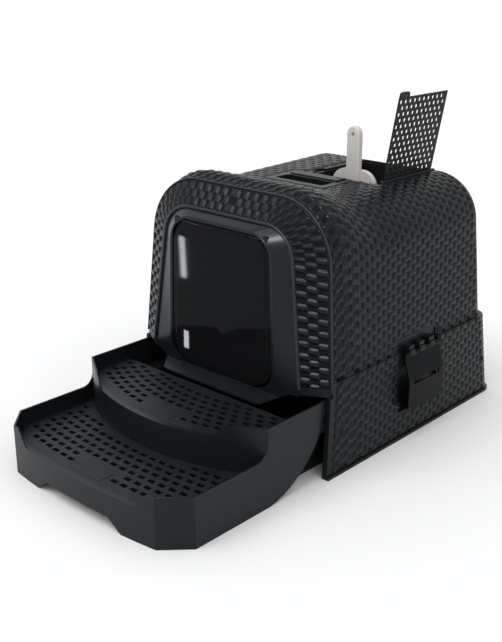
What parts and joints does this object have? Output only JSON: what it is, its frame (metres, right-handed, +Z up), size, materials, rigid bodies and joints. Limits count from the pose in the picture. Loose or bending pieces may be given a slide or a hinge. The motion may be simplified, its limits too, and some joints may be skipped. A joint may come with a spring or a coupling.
{
  "type": "drawer litter box",
  "caption": "Hooded cat litter box with a swing flap, a lidded scoop bin on top and a litter drawer that pulls out at the front and carries two perforated steps.",
  "frame": {"origin": "middle of the footprint on the floor, with the drawer part way out as pictured", "axes": "+Z up, +Y from the steps to the rear of the hood, +X to the right seen from the front"},
  "size_m": [0.424, 0.759, 0.5186],
  "materials": {
    "casing": "satin moulded plastic",
    "rattan_weave": "moulded rattan texture",
    "surround": "smooth satin moulded plastic",
    "door_gloss": "polished",
    "drawer": "smooth satin moulded plastic",
    "grate": "fine grained moulded plastic",
    "handle_panel": "smooth satin moulded plastic",
    "lid": "fine grained moulded plastic",
    "bin": "plain moulded plastic",
    "latch": "semi-gloss moulded plastic",
    "scoop": "smooth satin moulded plastic",
    "slide_rail": "plain moulded plastic",
    "hinge_pin": "plain moulded plastic"
  },
  "bodies": {
    "housing": {"base_housing": "casing", "runner_right": "slide_rail", "runner_left": "slide_rail", "guide_right": "slide_rail", "guide_left": "slide_rail", "hood_shell": "rattan_weave", "door_surround": "surround", "handle_panel": "handle_panel", "scoop_bin": "bin", "latch_pin_right": "hinge_pin", "latch_pin_left": "hinge_pin", "lid_hinge_pin": "hinge_pin"},
    "flap": {"flap_panel": "door_gloss", "flap_hinge_rod": "hinge_pin"},
    "lid": {"lid": "lid"},
    "latch_right": {"latch_right": "latch"},
    "latch_left": {"latch_left": "latch"},
    "scoop": {"scoop": "scoop"},
    "drawer": {"drawer_tray": "drawer", "lower_grate": "grate", "upper_grate": "grate"}
  },
  "joints": [
    {"name": "flap_swing", "type": "hinge", "parent": "housing", "child": "flap", "pos_m": [0, -0.0958, 0.339], "axis": [1, 0, 0], "range_deg": [-70, 70]},
    {"name": "lid_hinge", "type": "hinge", "parent": "housing", "child": "lid", "pos_m": [0.098, 0.2295, 0.38], "axis": [0, 1, 0], "range_deg": [-100, 0]},
    {"name": "latch_right_hinge", "type": "hinge", "parent": "housing", "child": "latch_right", "pos_m": [0.199, 0.1425, 0.139], "axis": [0, -1, 0], "range_deg": [0, 90]},
    {"name": "latch_left_hinge", "type": "hinge", "parent": "housing", "child": "latch_left", "pos_m": [-0.199, 0.1425, 0.139], "axis": [0, 1, 0], "range_deg": [0, 90]},
    {"name": "scoop_lift", "type": "slide", "parent": "housing", "child": "scoop", "axis": [0, 0, 1], "range_m": [0, 0.2]},
    {"name": "drawer_slide", "type": "slide", "parent": "housing", "child": "drawer", "axis": [0, -1, 0], "range_m": [-0.12, 0.15]}
  ]
}
